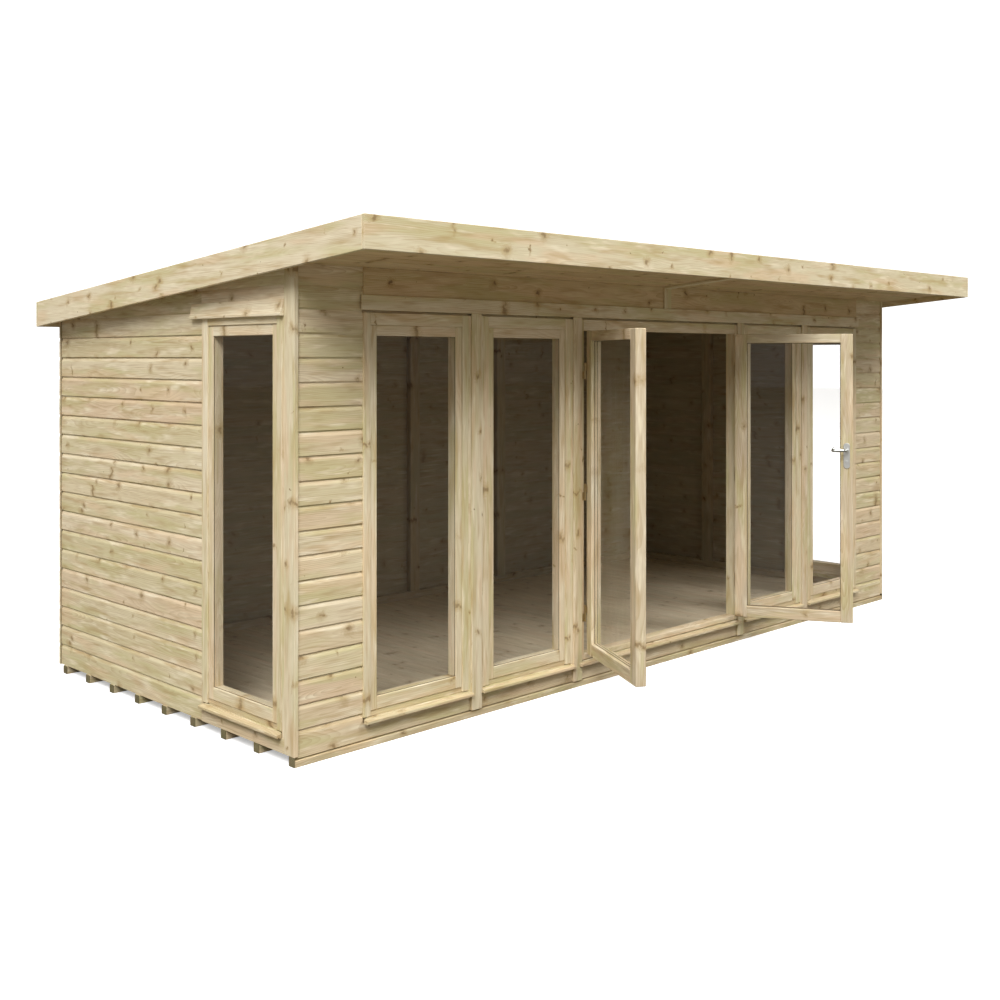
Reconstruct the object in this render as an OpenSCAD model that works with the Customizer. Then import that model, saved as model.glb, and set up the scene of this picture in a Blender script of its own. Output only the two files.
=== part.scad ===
// Garden office pod: a timber cabin with a pent roof, a glazed front and outward double doors.
// Millimetres. X runs along the front, Y from front to back, Z up from the ground.
// The origin is the middle of the underside of the middle bearer.

/* [Footprint] */
// Length over the walls
pod_l = 5400; // [5200:50:6000]
// Depth over the walls
pod_d = 2370; // [2200:10:2700]

/* [Floor] */
// Width of a bearer
bearer_w = 45; // [38:1:70]
// Height of a bearer
bearer_h = 45; // [38:1:70]
// Number of bearers
bearer_count = 9; // [7:2:11]
// Distance from the last bearer to the back of the wall
bearer_inset = 52; // [30:1:80]
// Thickness of the floor boards
deck_t = 18; // [12:1:28]

/* [Walls] */
// Thickness of the wall boards
board_t = 15; // [12:1:22]
// Distance that the wall boards lie behind the trim
board_inset = 8; // [4:1:12]
// Side of a stud
stud = 45; // [38:1:63]
// Height of the sole plates
plate_h = 52; // [45:1:70]
// Width of a corner board on the end wall
corner_w = 80; // [60:1:90]
// Width of the boarded part at each end of the front
front_panel_w = 395; // [300:5:500]
// Height of the front wall above its windows
head_rise = 202; // [185:1:260]
// Gap between the sole plates
plate_gap = 1; // [0.5:0.5:2]
// Number of double studs in the back wall
back_studs = 5; // [3:2:5]
// Distance between the double studs of the back wall
stud_pitch = 900; // [800:10:950]
// Middle of the double stud in each end wall
end_stud_y = 1585; // [1400:5:1800]

/* [Windows] */
// Width of an end window over its frame
end_window_w = 678; // [600:1:760]
// Height of a window over its frame
window_h = 1925; // [1800:1:2000]
// Depth of a window frame
window_t = 66; // [50:1:68]
// Face width of the outer frame
frame_face = 42; // [36:1:50]
// Face height of the frame's head
frame_head = 70; // [60:1:80]
// Face height of the frame's foot
frame_foot = 24; // [18:1:30]
// Face width of the inner frame
sash_face = 42; // [36:1:50]
// Face height of the inner frame's top rail
sash_head = 51; // [42:1:60]
// Face height of the inner frame's bottom rail
sash_foot = 63; // [50:1:75]
// Distance that the inner frame lies behind the outer one
sash_inset = 6; // [3:1:10]
// Thickness of the glass
glass_t = 14; // [8:1:18]
// Distance from the face of a window frame to its glass
glass_inset = 14; // [12:1:30]
// Depth that the glass goes into its groove
glass_hold = 10; // [6:1:14]
// Play of the glass in its groove
glass_play = 0.2; // [0.1:0.1:0.5]
// Gap between a corner board and the end window
end_gap = 18; // [10:1:30]
// Gap between the end window and the wall boards
board_gap = 12; // [6:1:20]
// Height of the window sills
sill_h = 28; // [22:1:34]
// Distance that the sills stand out from the trim
sill_out = 28; // [22:1:50]
// Fall of a sill's nose
sill_fall = 4; // [2:1:8]
// Distance that a sill's nose runs past a window
sill_run = 0; // [0:1:30]
// Gap between a sill's nose and a cover strip
sill_gap = 2; // [1:0.5:4]

/* [Front trim] */
// Width of the post between two windows
window_post_w = 101; // [90:1:110]
// Width of the post between a window and the doorway
door_post_w = 65; // [50:1:75]
// Width of a cover strip
strip_w = 70; // [60:1:80]
// Thickness of the cover strips and the header
strip_t = 9; // [8:1:16]
// Height of the header board
header_h = 72; // [60:1:95]
// Distance that the header runs past the outer windows
header_run = 18; // [10:1:30]
// Thickness of the end lintels
lintel_t = 20; // [15:1:25]
// Height of the end lintels
lintel_h = 77; // [60:1:90]
// Distance that the end lintels come down over the window frame
lintel_lap = 35; // [20:1:45]
// Distance that the end lintels run past the window
lintel_run = 98; // [60:1:150]

/* [Doors] */
// Clear width between the jambs
door_clear = 1476; // [1400:2:1500]
// Width of a jamb
jamb_w = 45; // [40:1:50]
// Height of the threshold above its sill
threshold_h = 32; // [25:1:45]
// Height of the door head
door_head_h = 71; // [60:1:85]
// Gap between a door and its frame
door_gap = 5; // [5:0.5:7]
// Gap between the two doors
meeting_gap = 8; // [6:0.5:10]
// Thickness of a door
leaf_t = 58; // [50:1:62]
// Width of a door's stiles
stile_w = 75; // [66:1:90]
// Height of a door's top rail
top_rail_h = 56; // [50:1:80]
// Height of a door's bottom rail
bottom_rail_h = 70; // [60:1:100]
// Angle that the doors stand open at
door_open = 119; // [0:1:155]

/* [Hinges and handle] */
// Radius of a hinge's barrel
barrel_r = 6; // [5:0.5:6]
// Radius of a hinge's pin
pin_r = 3; // [2.5:0.5:3.5]
// Play between a pin and its barrel
pin_play = 0.1; // [0.05:0.05:0.2]
// Length of one half of a hinge
hinge_half = 45; // [35:1:55]
// Gap between the halves of a hinge
hinge_gap = 1; // [0.5:0.5:2]
// Distance from a hinge to the end of its door
hinge_inset = 180; // [140:5:250]
// Distance of a hinge's axis from the face of its door
hinge_out = 7; // [6.5:0.5:8]
// Thickness of a hinge's flaps
flap_t = 2; // [1.5:0.5:3]
// Width of a hinge's flaps
flap_w = 20; // [14:1:20]
// Height of the lever above the foot of the door
lever_z = 1082; // [950:1:1150]
// Length of a lever from its spindle
lever_l = 92; // [80:1:130]
// Distance of a lever from its plate
lever_out = 42; // [36:1:50]
// Height of a lever's grip
lever_h = 18; // [14:1:22]
// Thickness of a lever's grip
lever_t = 12; // [10:1:16]
// Radius of the spindle
spindle_r = 5; // [4:0.5:6]
// Play of the spindle in its bore
spindle_play = 1; // [0.5:0.5:2]
// Width of a handle plate
plate_w = 40; // [34:1:46]
// Height of a handle plate
plate_l = 160; // [140:1:180]
// Thickness of a handle plate
plate_t = 6; // [4:1:8]
// Height of a handle plate over the lever
plate_over = 46; // [40:1:60]

/* [Roof] */
// Slope of the roof
roof_slope = 4.8; // [4:0.1:5]
// Overhang at the front
front_over = 625; // [500:5:700]
// Overhang at the back
back_over = 100; // [60:5:140]
// Overhang at each end
side_over = 95; // [70:5:120]
// Thickness of the roof panels
panel_t = 88; // [70:1:100]
// Thickness of the roof covering
cover_t = 4; // [3:1:6]
// Height of the fascia boards
fascia_h = 145; // [135:1:160]
// Thickness of the fascia boards
fascia_t = 20; // [16:1:24]
// Distance that the fascia stands above the covering
fascia_up = 15; // [5:1:20]
// Middle of the joint between the roof panels, from the middle of the pod
joint_x = 20; // [-40:5:40]
// Width of the battens over the joint
batten_w = 64; // [50:1:80]
// Thickness of the battens over the joint
batten_t = 12; // [10:1:15]
// Gap between the battens
batten_gap = 0.5; // [0.5:0.5:2]
// Gap between the roof and the walls under it
roof_fit = 0.05; // [0.02:0.01:0.1]

/* [Hidden] */
$fn = 48;
// Distance that a cut runs past the faces it goes through
over = 1;
origin_y = (pod_d - bearer_inset) / 2;
bearer_pitch = (pod_d - bearer_inset - bearer_w) / (bearer_count - 1);
half_l = pod_l / 2;
skin = board_inset + board_t;
inner = skin + stud;
deck_top = bearer_h + deck_t;
plate_top = deck_top + plate_h;
sill_top = plate_top + sill_h;
head_z = sill_top + window_h;
soffit_z = head_z + head_rise;
fall = tan(roof_slope);
glass_foot = sill_top + frame_foot + sash_foot;
glass_top = head_z - frame_head - sash_head;
jamb_x = door_clear / 2;
post_in = jamb_x + jamb_w;
front_edge = half_l - front_panel_w;
window_w = (front_edge - post_in - door_post_w - window_post_w) / 2;
window_2 = post_in + door_post_w + window_w / 2;
window_1 = window_2 + window_w + window_post_w;
strip_1 = window_2 + window_w / 2 + window_post_w / 2;
strip_2 = window_2 - window_w / 2 - (strip_1 - window_2 - window_w / 2);
end_near = corner_w + end_gap;
end_far = end_near + end_window_w;
end_window_y = (end_near + end_far) / 2;
end_boards = end_far + board_gap;
threshold_top = sill_top + threshold_h;
leaf_foot = threshold_top + door_gap;
leaf_top = head_z - door_head_h - door_gap;
leaf_w = (door_clear - 2 * door_gap - meeting_gap) / 2;
pane_y = (leaf_t - glass_t) / 2;
hinge_x = jamb_x - door_gap / 2;
hinge_zs = [leaf_foot + hinge_inset, (leaf_foot + leaf_top) / 2 - hinge_half,
  leaf_top - hinge_inset - 2 * hinge_half];
stile_x = meeting_gap / 2 + stile_w / 2;
lever_up = leaf_foot + lever_z;
reach = plate_t + lever_out;
back_y = pod_d - board_t;
roof_half = half_l + side_over;
batten_x = joint_x - batten_w / 2;

function soffit(y) = soffit_z - y * fall;
function under_roof(y) = soffit(y) - roof_fit;
function roof_top(y) = soffit(y) + panel_t + cover_t;

// Puts the pod's front plane, y = 0 below, where the origin needs it
module placed() {
  translate([0, -origin_y, 0]) children();
}

// A block between two corners
module block(a, b) {
  translate(a) cube(b - a);
}

// A profile in Y and Z, drawn out along X
module along_x(x0, x1, points) {
  translate([x0, 0, 0]) rotate([90, 0, 90]) linear_extrude(x1 - x0) polygon(points);
}

// A block from a height up to the soffit
module to_soffit(x0, x1, y0, y1, z0) {
  along_x(x0, x1, [[y0, z0], [y1, z0], [y1, under_roof(y1)], [y0, under_roof(y0)]]);
}

module both_ends() {
  children();
  mirror([1, 0, 0]) children();
}

// Turns what is drawn at the front to the left end
module at_left_end() {
  translate([-half_l, end_window_y, 0]) rotate([0, 0, -90]) children();
}

// Swings what is drawn at the left side of the shut doorway about the left hinge
module swung_left() {
  translate([-hinge_x, -hinge_out, 0]) rotate([0, 0, -door_open])
    translate([hinge_x, hinge_out, 0]) children();
}

module swung_right() {
  mirror([1, 0, 0]) swung_left() children();
}

module floor_bearers() {
  color("burlywood") placed() for (i = [0 : bearer_count - 1])
    block([-half_l, i * bearer_pitch, 0], [half_l, i * bearer_pitch + bearer_w, bearer_h]);
}

module floor_deck() {
  color("tan") placed()
    block([skin - half_l, skin, bearer_h], [half_l - skin, back_y, deck_top]);
}

module sole_plates() {
  color("burlywood") placed() {
    both_ends() block([skin - half_l, skin, deck_top], [inner - half_l, back_y, plate_top]);
    for (y = [skin, back_y - stud])
      block([inner + plate_gap - half_l, y, deck_top],
        [half_l - inner - plate_gap, y + stud, plate_top]);
  }
}

module left_wall() {
  color("wheat") placed()
    to_soffit(board_inset - half_l, skin - half_l, end_boards, back_y, bearer_h);
}

module right_wall() {
  mirror([1, 0, 0]) left_wall();
}

module back_wall() {
  color("wheat") placed() to_soffit(-half_l, half_l, back_y, pod_d, bearer_h);
}

module front_walls() {
  color("wheat") placed() both_ends()
    to_soffit(skin - half_l, -front_edge, board_inset, skin, bearer_h);
}

// The studs of the ends, those beside the outer front windows and those of the back
module wall_studs() {
  color("burlywood") placed() both_ends() {
    to_soffit(skin - half_l, inner - half_l, skin, end_near, plate_top);
    to_soffit(skin - half_l, inner - half_l, end_far, end_far + stud, plate_top);
    to_soffit(skin - half_l, inner - half_l, end_stud_y - stud, end_stud_y + stud, plate_top);
    to_soffit(skin - half_l, inner - half_l, back_y - stud, back_y, plate_top);
    block([-front_edge - stud, skin, plate_top], [-front_edge, inner, head_z]);
  }
  color("burlywood") placed() for (i = [0 : back_studs - 1]) {
    x = (i - (back_studs - 1) / 2) * stud_pitch;
    to_soffit(x - stud, x + stud, back_y - stud, back_y, plate_top);
  }
}

module front_beam() {
  color("burlywood") placed() to_soffit(inner - half_l, half_l - inner, skin, inner, head_z);
}

module head_boards() {
  color("wheat") placed() {
    to_soffit(-front_edge, front_edge, 0, skin, head_z);
    both_ends() to_soffit(-half_l, skin - half_l, corner_w, end_boards, head_z);
  }
}

module kick_boards() {
  color("wheat") placed() {
    block([-front_edge, 0, bearer_h], [front_edge, skin, plate_top]);
    both_ends() block([-half_l, corner_w, bearer_h], [skin - half_l, end_boards, plate_top]);
  }
}

module front_header() {
  color("wheat") placed()
    block([-front_edge - header_run, -strip_t, head_z],
      [front_edge + header_run, 0, head_z + header_h]);
}

module end_lintels() {
  color("wheat") placed() both_ends()
    block([-half_l - lintel_t, corner_w, head_z - lintel_lap],
      [-half_l, end_far + lintel_run, head_z - lintel_lap + lintel_h]);
}

module corner_boards() {
  color("wheat") placed() both_ends() to_soffit(-half_l, skin - half_l, 0, corner_w, bearer_h);
}

module front_posts() {
  color("burlywood") placed() both_ends() {
    block([-strip_1 - window_post_w / 2, 0, plate_top],
      [window_post_w / 2 - strip_1, inner, head_z]);
    block([-post_in - door_post_w, 0, plate_top], [-post_in, inner, head_z]);
  }
}

module cover_strips() {
  color("wheat") placed() both_ends() for (x = [-strip_1, -strip_2])
    block([x - strip_w / 2, -strip_t, bearer_h], [x + strip_w / 2, 0, head_z]);
}

// One sill: the part in the wall, and a nose between two ends
module sill(x0, x1, n0, n1, depth) {
  along_x(x0, x1, [[0, plate_top], [depth, plate_top], [depth, sill_top], [0, sill_top]]);
  along_x(n0, n1, [[-sill_out, plate_top], [0, plate_top], [0, sill_top],
    [-sill_out, sill_top - sill_fall]]);
}

module sills() {
  half = window_w / 2;
  end_half = end_window_w / 2;
  clear = strip_w / 2 + sill_gap;
  nose = strip_2 - clear;
  color("wheat") placed() sill(-post_in, post_in, -nose, nose, inner);
  color("wheat") placed() both_ends() {
    sill(-window_1 - half, half - window_1, -window_1 - half - sill_run, -strip_1 - clear,
      window_t);
    sill(-window_2 - half, half - window_2, clear - strip_1, -strip_2 - clear, window_t);
    at_left_end()
      sill(-end_half, end_half, -end_half - sill_run, end_half, window_t);
  }
}

// A frame around one window, with its inner frame and the groove that holds the glass
module window_frame(width) {
  half = width / 2;
  open = half - frame_face - sash_face;
  hold = open + glass_hold;
  difference() {
    block([-half, 0, sill_top], [half, window_t, head_z]);
    block([frame_face - half, -over, sill_top + frame_foot],
      [half - frame_face, sash_inset, head_z - frame_head]);
    block([-open, -over, glass_foot], [open, window_t + over, glass_top]);
    block([-hold, glass_inset, glass_foot - glass_hold],
      [hold, glass_inset + glass_t, glass_top + glass_hold]);
  }
}

module window_pane(width) {
  hold = width / 2 - frame_face - sash_face + glass_hold - glass_play;
  block([-hold, glass_inset + glass_play, glass_foot - glass_hold],
    [hold, glass_inset + glass_t - glass_play, glass_top + glass_hold - glass_play]);
}

module front_frame(x) {
  color("burlywood") placed() translate([x, 0, 0]) window_frame(window_w);
}

module front_pane(x) {
  color("lightblue") placed() translate([x, 0, 0]) window_pane(window_w);
}

module front_window_1() { front_frame(-window_1); }
module front_window_2() { front_frame(-window_2); }
module front_window_3() { front_frame(window_2); }
module front_window_4() { front_frame(window_1); }
module left_window() { color("burlywood") placed() at_left_end() window_frame(end_window_w); }
module right_window() { mirror([1, 0, 0]) left_window(); }
module front_glass_1() { front_pane(-window_1); }
module front_glass_2() { front_pane(-window_2); }
module front_glass_3() { front_pane(window_2); }
module front_glass_4() { front_pane(window_1); }
module left_glass() { color("lightblue") placed() at_left_end() window_pane(end_window_w); }
module right_glass() { mirror([1, 0, 0]) left_glass(); }

module door_jambs() {
  color("burlywood") placed() both_ends() block([-post_in, 0, sill_top], [-jamb_x, inner, head_z]);
}

module door_head() {
  color("burlywood") placed() block([-jamb_x, 0, head_z - door_head_h], [jamb_x, inner, head_z]);
}

module door_threshold() {
  color("burlywood") placed() block([-jamb_x, 0, sill_top], [jamb_x, inner, threshold_top]);
}

// The half of each hinge on the jamb: a flap, a barrel and the pin that stands up from it
module jamb_hinges() {
  color("silver") placed() both_ends() for (z = hinge_zs) {
    block([-hinge_x - flap_w, -flap_t, z], [-hinge_x, 0, z + hinge_half]);
    translate([-hinge_x, -hinge_out, z]) cylinder(h = hinge_half, r = barrel_r);
    translate([-hinge_x, -hinge_out, z]) cylinder(h = 2 * hinge_half - hinge_gap, r = pin_r);
  }
}

// The half of each hinge on the door
module leaf_hinges() {
  for (z = hinge_zs) difference() {
    union() {
      block([-hinge_x, -flap_t, z + hinge_half + hinge_gap], [flap_w - hinge_x, 0, z + 2 * hinge_half]);
      translate([-hinge_x, -hinge_out, z + hinge_half + hinge_gap])
        cylinder(h = hinge_half - hinge_gap, r = barrel_r);
    }
    translate([-hinge_x, -hinge_out, z]) cylinder(h = 2 * hinge_half + over, r = pin_r + pin_play);
  }
}

// One shut door on the left side: stiles, rails and the groove that holds the glass
module leaf() {
  x0 = door_gap - jamb_x;
  x1 = x0 + leaf_w;
  difference() {
    block([x0, 0, leaf_foot], [x1, leaf_t, leaf_top]);
    block([x0 + stile_w, -over, leaf_foot + bottom_rail_h],
      [x1 - stile_w, leaf_t + over, leaf_top - top_rail_h]);
    block([x0 + stile_w - glass_hold, pane_y, leaf_foot + bottom_rail_h - glass_hold],
      [x1 - stile_w + glass_hold, pane_y + glass_t, leaf_top - top_rail_h + glass_hold]);
  }
}

module leaf_pane() {
  x0 = door_gap - jamb_x;
  x1 = x0 + leaf_w;
  hold = glass_hold - glass_play;
  block([x0 + stile_w - hold, pane_y + glass_play, leaf_foot + bottom_rail_h - glass_hold],
    [x1 - stile_w + hold, pane_y + glass_t - glass_play, leaf_top - top_rail_h + hold]);
}

// The bore for the spindle, through the door and its plates
module spindle_bore() {
  translate([-stile_x, -reach, lever_up]) rotate([-90, 0, 0])
    cylinder(h = leaf_t + 2 * reach, r = spindle_r + spindle_play);
}

module left_door() { color("burlywood") placed() swung_left() leaf(); }
module left_door_glass() { color("lightblue") placed() swung_left() leaf_pane(); }
module left_door_hinges() { color("silver") placed() swung_left() leaf_hinges(); }
module right_door_glass() { color("lightblue") placed() swung_right() leaf_pane(); }
module right_door_hinges() { color("silver") placed() swung_right() leaf_hinges(); }

module right_door() {
  color("burlywood") placed() swung_right() difference() {
    leaf();
    spindle_bore();
  }
}

module handle_plates() {
  color("silver") placed() swung_right() difference() {
    for (y = [-plate_t, leaf_t])
      block([-stile_x - plate_w / 2, y, lever_up + plate_over - plate_l],
        [plate_w / 2 - stile_x, y + plate_t, lever_up + plate_over]);
    spindle_bore();
  }
}

// Both levers on their spindle
module door_lever() {
  color("silver") placed() swung_right() {
    translate([-stile_x, -reach, lever_up]) rotate([-90, 0, 0])
      cylinder(h = leaf_t + 2 * reach, r = spindle_r);
    for (y = [-reach - lever_t / 2, leaf_t + reach - lever_t / 2])
      block([-stile_x - lever_l, y, lever_up - lever_h / 2],
        [lever_h / 2 - stile_x, y + lever_t, lever_up + lever_h / 2]);
  }
}

// A sheet of the roof between two ends, its foot and top both parallel to the soffit
module roof_sheet(x0, x1, low, high) {
  a = fascia_t - front_over;
  b = pod_d + back_over - fascia_t;
  along_x(x0, x1, [[a, soffit(a) + low], [b, soffit(b) + low], [b, soffit(b) + high],
    [a, soffit(a) + high]]);
}

module roof_panel_left() {
  color("tan") placed() roof_sheet(fascia_t - roof_half, joint_x, 0, panel_t);
}

module roof_panel_right() {
  color("tan") placed() roof_sheet(joint_x, roof_half - fascia_t, 0, panel_t);
}

module roof_covering() {
  color("dimgray") placed()
    roof_sheet(fascia_t - roof_half, roof_half - fascia_t, panel_t, panel_t + cover_t);
}

module front_fascia() {
  top = roof_top(-front_over) + fascia_up;
  color("wheat") placed()
    block([-roof_half, -front_over, top - fascia_h], [roof_half, fascia_t - front_over, top]);
}

module back_fascia() {
  y = pod_d + back_over;
  top = roof_top(y) + fascia_up;
  color("wheat") placed() block([-roof_half, y - fascia_t, top - fascia_h], [roof_half, y, top]);
}

module side_fascias() {
  top = panel_t + cover_t + fascia_up;
  color("wheat") placed() both_ends() roof_sheet(-roof_half, fascia_t - roof_half, top - fascia_h, top);
}

// The battens under the joint of the roof panels, outside and inside, and the strip below them
module roof_joint_battens() {
  outside = [fascia_t - front_over, -batten_t - batten_gap];
  inside = [inner, back_y - stud];
  color("wheat") placed() {
    for (span = [outside, inside]) {
      a = span[0];
      b = span[1];
      along_x(batten_x, batten_x + batten_w, [[a, under_roof(a) - batten_t],
        [b, under_roof(b) - batten_t], [b, under_roof(b)], [a, under_roof(a)]]);
    }
    to_soffit(batten_x, batten_x + batten_w, -batten_t, 0, head_z + header_h);
  }
}

floor_bearers();
floor_deck();
sole_plates();
left_wall();
right_wall();
back_wall();
front_walls();
wall_studs();
front_beam();
head_boards();
kick_boards();
front_header();
end_lintels();
corner_boards();
front_posts();
cover_strips();
sills();
front_window_1();
front_window_2();
front_window_3();
front_window_4();
left_window();
right_window();
front_glass_1();
front_glass_2();
front_glass_3();
front_glass_4();
left_glass();
right_glass();
door_jambs();
door_head();
door_threshold();
jamb_hinges();
left_door();
left_door_glass();
left_door_hinges();
right_door();
right_door_glass();
right_door_hinges();
handle_plates();
door_lever();
roof_panel_left();
roof_panel_right();
roof_covering();
front_fascia();
back_fascia();
side_fascias();
roof_joint_battens();
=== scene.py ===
# %% [markdown]
# # A garden office pod in treated pine
# This lesson dresses a timber garden room with a pent roof, a glazed front and outward double doors.
# The solids of the pod come first, as a frame in metres. Every board, bead and hinge is then made where
# the frame says, so a piece needs no fitting by eye.

import math
import random

import bmesh
import bpy
from mathutils import Matrix, Vector


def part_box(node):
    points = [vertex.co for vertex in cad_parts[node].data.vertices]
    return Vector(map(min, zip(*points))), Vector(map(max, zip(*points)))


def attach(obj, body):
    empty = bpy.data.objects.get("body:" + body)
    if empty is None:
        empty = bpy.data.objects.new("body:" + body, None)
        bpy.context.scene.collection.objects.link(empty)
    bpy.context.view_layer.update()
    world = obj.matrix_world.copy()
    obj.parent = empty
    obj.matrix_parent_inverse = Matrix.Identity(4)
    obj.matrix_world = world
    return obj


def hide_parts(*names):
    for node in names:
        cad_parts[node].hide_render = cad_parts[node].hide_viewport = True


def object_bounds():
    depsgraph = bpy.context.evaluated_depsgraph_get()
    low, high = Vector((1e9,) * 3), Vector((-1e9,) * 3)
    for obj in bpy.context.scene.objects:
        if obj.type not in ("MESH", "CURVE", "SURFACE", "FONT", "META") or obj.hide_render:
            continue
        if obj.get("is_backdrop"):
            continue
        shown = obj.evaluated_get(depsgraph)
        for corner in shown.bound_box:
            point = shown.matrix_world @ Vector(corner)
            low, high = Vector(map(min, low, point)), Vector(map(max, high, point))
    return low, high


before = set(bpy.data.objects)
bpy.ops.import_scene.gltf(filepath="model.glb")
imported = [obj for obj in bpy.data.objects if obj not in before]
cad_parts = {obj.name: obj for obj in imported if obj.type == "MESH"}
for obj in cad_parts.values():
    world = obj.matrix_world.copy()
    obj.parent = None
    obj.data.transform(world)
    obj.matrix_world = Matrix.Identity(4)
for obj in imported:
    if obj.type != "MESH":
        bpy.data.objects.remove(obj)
cad_low, cad_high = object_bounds()
print("nodes:", len(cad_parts), "box:", tuple(cad_low), tuple(cad_high))

# %% [markdown]
# ## Camera
# The pod is seen from its front left corner with upright edges kept upright, as an architect's camera does:
# the camera looks level, and the picture is moved down with the lens shift instead of tilting the camera.


# %% Camera
def put(name, data):
    thing = bpy.data.objects.new(name, data)
    bpy.context.scene.collection.objects.link(thing)
    return thing


camera = put("camera", bpy.data.cameras.new("camera"))
camera.data.lens = 43.51
camera.data.sensor_width = 36.0
camera.data.shift_y = -0.1421
camera.location = (-5.8558, -5.6592, 1.8413)
camera.rotation_euler = (math.radians(90.0), 0.0, math.radians(-44.70))
bpy.context.scene.camera = camera
print("camera:", tuple(camera.location))

# %% [markdown]
# ## Nodes by one helper
# Shaders and Geometry Nodes are both trees of nodes. One small function adds a node and sets its settings,
# and another links its sockets or gives them values. A node given as a value stands for its first output.
# Colours are written as sRGB hex, as a paint chart has them, and shaders work in linear light, so one
# function turns one into the other. The last one starts a new material.


# %% Helpers for node trees
def wire(tree, node, inputs):
    for name, value in inputs.items():
        if isinstance(value, bpy.types.Node):
            value = next(out for out in value.outputs if out.enabled)
        if isinstance(value, bpy.types.NodeSocket):
            tree.links.new(value, node.inputs[name])
        else:
            node.inputs[name].default_value = value


def add(tree, kind, inputs=None, **settings):
    node = tree.nodes.new(kind)
    for name, value in settings.items():
        setattr(node, name, value)
    wire(tree, node, inputs or {})
    return node


def linear(code):
    channels = [int(code[i : i + 2], 16) / 255.0 for i in (1, 3, 5)]
    return [c / 12.92 if c <= 0.04045 else ((c + 0.055) / 1.055) ** 2.4 for c in channels] + [1.0]


def new_finish(name):
    material = bpy.data.materials.new(name)
    material.use_nodes = True
    return material, material.node_tree, material.node_tree.nodes["Principled BSDF"]


print("linear straw:", [round(c, 3) for c in linear("#DCCB9F")])

# %% [markdown]
# ## Studio
# A pale floor and a white surround, a broad light high behind the camera's left, and a weak one at the right.
# The surround lights the pod more from above than from the sides, so the roof's overhang shades the front.


# %% Floor, surround and lights
# The eye sees white paper, and the pod gets back the light of a grey floor
PAPER, BOUNCE, GLOW = "#FBFBFA", "#76726A", 0.42
FLOOR_HALF = 60


def studio_floor():
    mesh = bpy.data.meshes.new("studio_floor")
    corners = [(FLOOR_HALF * x, FLOOR_HALF * y, 0) for x, y in ((-1, -1), (1, -1), (1, 1), (-1, 1))]
    mesh.from_pydata(corners, [], [(0, 1, 2, 3)])
    floor = put("studio_floor", mesh)
    paint, tree, shader = new_finish("white_paper")
    seen = add(tree, "ShaderNodeLightPath").outputs["Is Camera Ray"]
    ends = {"Factor": seen, 6: linear(BOUNCE), 7: linear(PAPER)}
    shade = add(tree, "ShaderNodeMix", ends, data_type="RGBA")
    glow = add(tree, "ShaderNodeMath", {0: seen, 1: GLOW}, operation="MULTIPLY")
    wire(tree, shader, {"Base Color": shade, "Roughness": 0.9, "Specular IOR Level": 0.1})
    wire(tree, shader, {"Emission Color": (1, 1, 1, 1), "Emission Strength": glow})
    mesh.materials.append(paint)
    floor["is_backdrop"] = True


def surround():
    world = bpy.data.worlds.new("surround")
    bpy.context.scene.world = world
    world.use_nodes = True
    tree = world.node_tree
    tree.nodes.clear()
    place = add(tree, "ShaderNodeTexCoord")
    height = add(tree, "ShaderNodeSeparateXYZ", {0: place.outputs["Generated"]})
    ends = {"Value": height.outputs["Z"], "From Min": 0.0, "From Max": 0.9, "To Min": 0.25, "To Max": 0.94}
    rise = add(tree, "ShaderNodeMapRange", ends)
    sky = add(tree, "ShaderNodeBackground", {"Color": linear("#FDFBF7"), "Strength": rise})
    white = add(tree, "ShaderNodeBackground", {"Color": (1, 1, 1, 1), "Strength": 1.3})
    seen = add(tree, "ShaderNodeLightPath").outputs["Is Camera Ray"]
    both = add(tree, "ShaderNodeMixShader", {0: seen, 1: sky, 2: white})
    add(tree, "ShaderNodeOutputWorld", {"Surface": both})


def softbox(name, place, aim, size, watts):
    light = put(name, bpy.data.lights.new(name, "AREA"))
    light.data.shape = "DISK"
    light.data.size = size
    light.data.energy = watts
    light.data.color = (1.0, 1.0, 1.02)
    light.location = place
    light.rotation_euler = (Vector(aim) - Vector(place)).to_track_quat("-Z", "Y").to_euler()


studio_floor()
surround()
softbox("left_light", (-21.0, -14.0, 24.5), (0, 0, 0.9), 18.0, 10200)
softbox("front_light", (5.2, -10.8, 12.5), (0, 0, 1.0), 6.0, 880)
bpy.context.scene.view_settings.view_transform = "Standard"

# %% [markdown]
# ## Treated pine
# Pressure treated pine is sawn and planed softwood: straw yellow with a green cast where the treatment took,
# pink boards among them, thin brown lines where the year's late wood ends, and brown knots every few hundred
# millimetres, some cut lengthwise so that they cross the board as spikes.
# The pattern has to follow each plank and differ from plank to plank. So every plank carries two attributes:
# `grain` holds metres along, across and into the plank, and `tone` one random number for the whole plank.
# Year rings are circles around a pith behind the board, bent by noise and pushed aside by the knots.
# Real rings are 3 to 4 mm apart, and are drawn 8 mm apart here so that they show at the size of the picture.


# %% Pine tones
STRAW = ["#E3D5B3", "#D5CAA2", "#DECDAB", "#DFC8A8", "#E7D9BA", "#D9CEA6"]
LIGHT = ["#E9DDC0", "#DED2B2", "#E4D4B5", "#E2D0B2", "#ECE0C4", "#DFD4B3"]
CASTS = ("#CDC492", "#E6CDAA", "#F3E8CC")
SHADED = ("#989277", "#A89881", "#B5AB94")
print("tones:", len(STRAW), "for boards,", len(LIGHT), "for trim and frames")

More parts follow.
